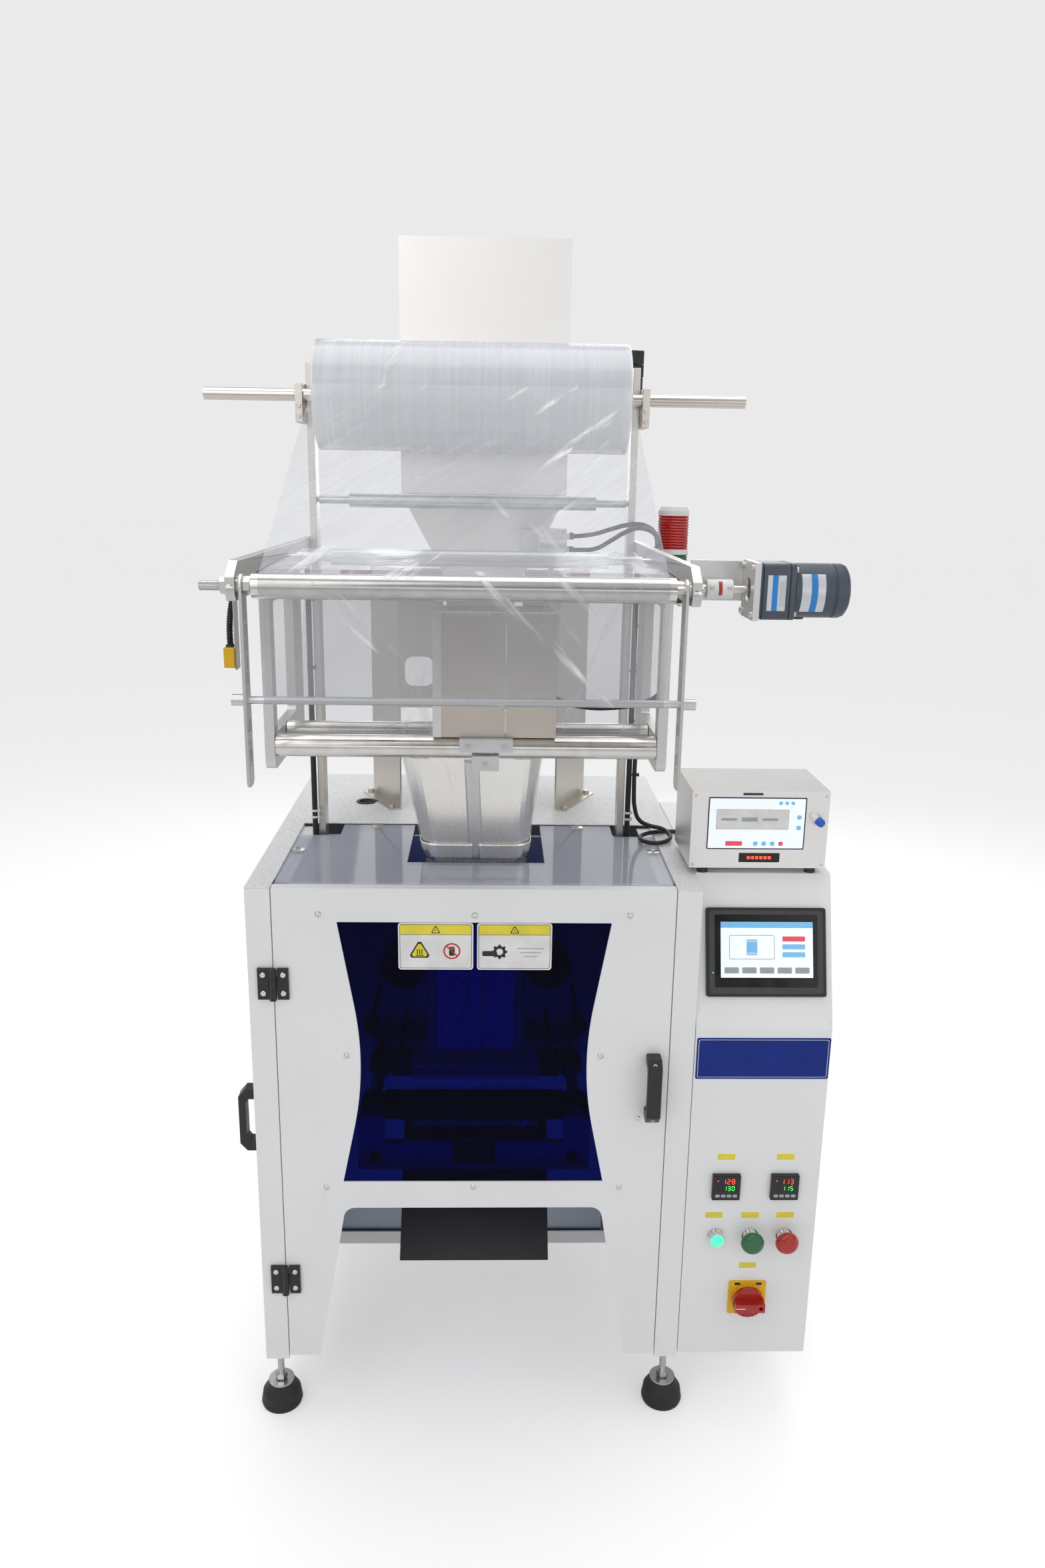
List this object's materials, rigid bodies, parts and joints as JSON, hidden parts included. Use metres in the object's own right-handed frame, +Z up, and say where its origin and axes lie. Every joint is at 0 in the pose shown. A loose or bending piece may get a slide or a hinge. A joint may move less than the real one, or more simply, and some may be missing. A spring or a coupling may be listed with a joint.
{
  "type": "vertical form fill sealer",
  "caption": "Free-standing packaging machine that draws film from a roll over rollers, forms it round a tube, seals and cuts bags in a door-fronted cabinet, with a hopper and control cabinet.",
  "frame": {"origin": "on the floor under the middle of the machine's bounding box", "axes": "+Z up, the front door faces -Y, the control cabinet is on the +X side"},
  "size_m": [1.048, 1.04, 2.044],
  "materials": {
    "cabinet_paint": "textured powder coat",
    "deck_paint": "textured powder coat",
    "stainless": "brushed",
    "chrome": "polished",
    "aluminium": "clear anodised",
    "zinc": "zinc plated",
    "black_plastic": "moulded",
    "rubber": "matte",
    "blue_acrylic": "tinted clear",
    "clear_acrylic": "clear",
    "film": "clear glossy",
    "film_roll": "wound clear film",
    "screen": "glass faced",
    "yellow_plastic": "gloss",
    "red_plastic": "gloss",
    "green_plastic": "gloss",
    "red_silicone": "satin",
    "motor_grey": "satin",
    "white_metal": "satin",
    "black_metal": "satin",
    "cable_black": "satin"
  },
  "bodies": {
    "frame": {"front_frame": "cabinet_paint", "cabinet_panels": "cabinet_paint", "deck": "deck_paint", "floor_pan": "cabinet_paint", "machine_plate": "stainless", "deck_cover": "clear_acrylic", "frame_fasteners": "zinc", "rubber_feet": "rubber", "fixed_hinge_leaves": "black_plastic", "control_cabinet": "cabinet_paint", "panel_displays": "screen", "panel_bezels": "yellow_plastic", "coder_case": "stainless", "posts": "stainless", "arm_plates": "stainless", "shaft_cradles": "stainless", "guide_loops": "aluminium", "print_head_box": "stainless", "hopper": "stainless", "hopper_stand": "stainless", "former": "stainless", "gate_cylinder": "white_metal", "gearmotor": "motor_grey", "motor_bracket": "aluminium", "dancer_sensor": "yellow_plastic", "inner_drives": "black_metal", "jaw_rods": "stainless", "chute": "black_metal", "signal_tower": "red_plastic", "film_web": "film", "held_cables": "cable_black", "print_head_cable": "cable_black"},
    "front_door": {"door_shell": "cabinet_paint", "door_window": "blue_acrylic", "door_screws": "chrome", "door_handle": "black_plastic", "door_hinge_leaves": "black_plastic"},
    "side_door": {"side_door": "cabinet_paint"},
    "film_roll": {"roll_shaft": "stainless", "film_roll": "film_roll"},
    "upper_idler": {"upper_idler": "aluminium"},
    "lower_idler": {"lower_idler": "aluminium"},
    "front_roller": {"front_roller": "stainless"},
    "drive_shaft": {"drive_shaft": "stainless", "drive_sleeves": "red_silicone"},
    "guide_roller_front": {"guide_roller_front": "chrome"},
    "guide_roller_rear": {"guide_roller_rear": "chrome"},
    "dancer": {"dancer_straps": "stainless", "dancer_bar": "aluminium", "film_loop": "film"},
    "pull_wheel_left": {"pull_wheel_left": "rubber"},
    "pull_wheel_right": {"pull_wheel_right": "rubber"},
    "front_jaw": {"front_jaw": "black_metal"},
    "rear_jaw": {"rear_jaw": "black_metal"},
    "knife": {"knife": "stainless"},
    "vertical_sealer": {"vertical_sealer": "aluminium"},
    "gate": {"gate": "stainless"},
    "green_button": {"green_button": "green_plastic"},
    "red_button": {"red_button": "red_plastic"},
    "switch_knob": {"switch_knob": "red_plastic"}
  },
  "joints": [
    {"name": "front_door_hinge", "type": "hinge", "parent": "frame", "child": "front_door", "pos_m": [-0.396, -0.217, 0.575], "axis": [0, 0, -1], "range_deg": [0, 110]},
    {"name": "side_door_hinge", "type": "hinge", "parent": "frame", "child": "side_door", "pos_m": [-0.444, 0.481, 0.575], "axis": [0, 0, -1], "range_deg": [0, 110]},
    {"name": "film_roll_spin", "type": "hinge", "parent": "frame", "child": "film_roll", "pos_m": [-0.071, 0.07, 1.776], "axis": [1, 0, 0], "continuous": true},
    {"name": "upper_idler_spin", "type": "hinge", "parent": "frame", "child": "upper_idler", "pos_m": [-0.071, 0.115, 1.608], "axis": [1, 0, 0], "continuous": true},
    {"name": "lower_idler_spin", "type": "hinge", "parent": "frame", "child": "lower_idler", "pos_m": [-0.071, -0.134, 1.527], "axis": [1, 0, 0], "continuous": true},
    {"name": "front_roller_spin", "type": "hinge", "parent": "frame", "child": "front_roller", "pos_m": [-0.071, -0.5, 1.515], "axis": [1, 0, 0], "continuous": true},
    {"name": "drive_shaft_spin", "type": "hinge", "parent": "frame", "child": "drive_shaft", "pos_m": [-0.071, -0.464, 1.515], "axis": [1, 0, 0], "continuous": true},
    {"name": "guide_roller_front_spin", "type": "hinge", "parent": "frame", "child": "guide_roller_front", "pos_m": [-0.071, -0.363, 1.283], "axis": [1, 0, 0], "continuous": true},
    {"name": "guide_roller_rear_spin", "type": "hinge", "parent": "frame", "child": "guide_roller_rear", "pos_m": [-0.071, -0.272, 1.283], "axis": [1, 0, 0], "continuous": true},
    {"name": "dancer_swing", "type": "hinge", "parent": "frame", "child": "dancer", "pos_m": [-0.071, -0.5, 1.515], "axis": [1, 0, 0], "range_deg": [-25, 15]},
    {"name": "pull_wheel_left_spin", "type": "hinge", "parent": "frame", "child": "pull_wheel_left", "pos_m": [-0.2, -0.01, 0.8], "axis": [0, 1, 0], "continuous": true},
    {"name": "pull_wheel_right_spin", "type": "hinge", "parent": "frame", "child": "pull_wheel_right", "pos_m": [0.058, -0.01, 0.8], "axis": [0, 1, 0], "continuous": true},
    {"name": "front_jaw_slide", "type": "slide", "parent": "frame", "child": "front_jaw", "axis": [0, 1, 0], "range_m": [0, 0.058]},
    {"name": "rear_jaw_slide", "type": "slide", "parent": "frame", "child": "rear_jaw", "axis": [0, -1, 0], "range_m": [0, 0.058]},
    {"name": "knife_slide", "type": "slide", "parent": "rear_jaw", "child": "knife", "axis": [0, -1, 0], "range_m": [0, 0.018]},
    {"name": "vertical_sealer_slide", "type": "slide", "parent": "frame", "child": "vertical_sealer", "axis": [0, 1, 0], "range_m": [0, 0.021]},
    {"name": "gate_slide", "type": "slide", "parent": "frame", "child": "gate", "axis": [0, 0, 1], "range_m": [0, 0.042]},
    {"name": "green_button_push", "type": "slide", "parent": "frame", "child": "green_button", "axis": [0, 1, 0], "range_m": [0, 0.005], "stiffness_N_per_m": 600},
    {"name": "red_button_push", "type": "slide", "parent": "frame", "child": "red_button", "axis": [0, 1, 0], "range_m": [0, 0.005], "stiffness_N_per_m": 600},
    {"name": "main_switch_turn", "type": "hinge", "parent": "frame", "child": "switch_knob", "pos_m": [0.413, -0.21, 0.254], "axis": [0, -1, 0], "range_deg": [0, 90]}
  ],
  "couplings": [
    {"joint": "front_roller_spin", "follows": "drive_shaft_spin", "ratio": -1.125},
    {"joint": "pull_wheel_right_spin", "follows": "pull_wheel_left_spin", "ratio": -1},
    {"joint": "front_jaw_slide", "follows": "rear_jaw_slide", "ratio": 1}
  ]
}
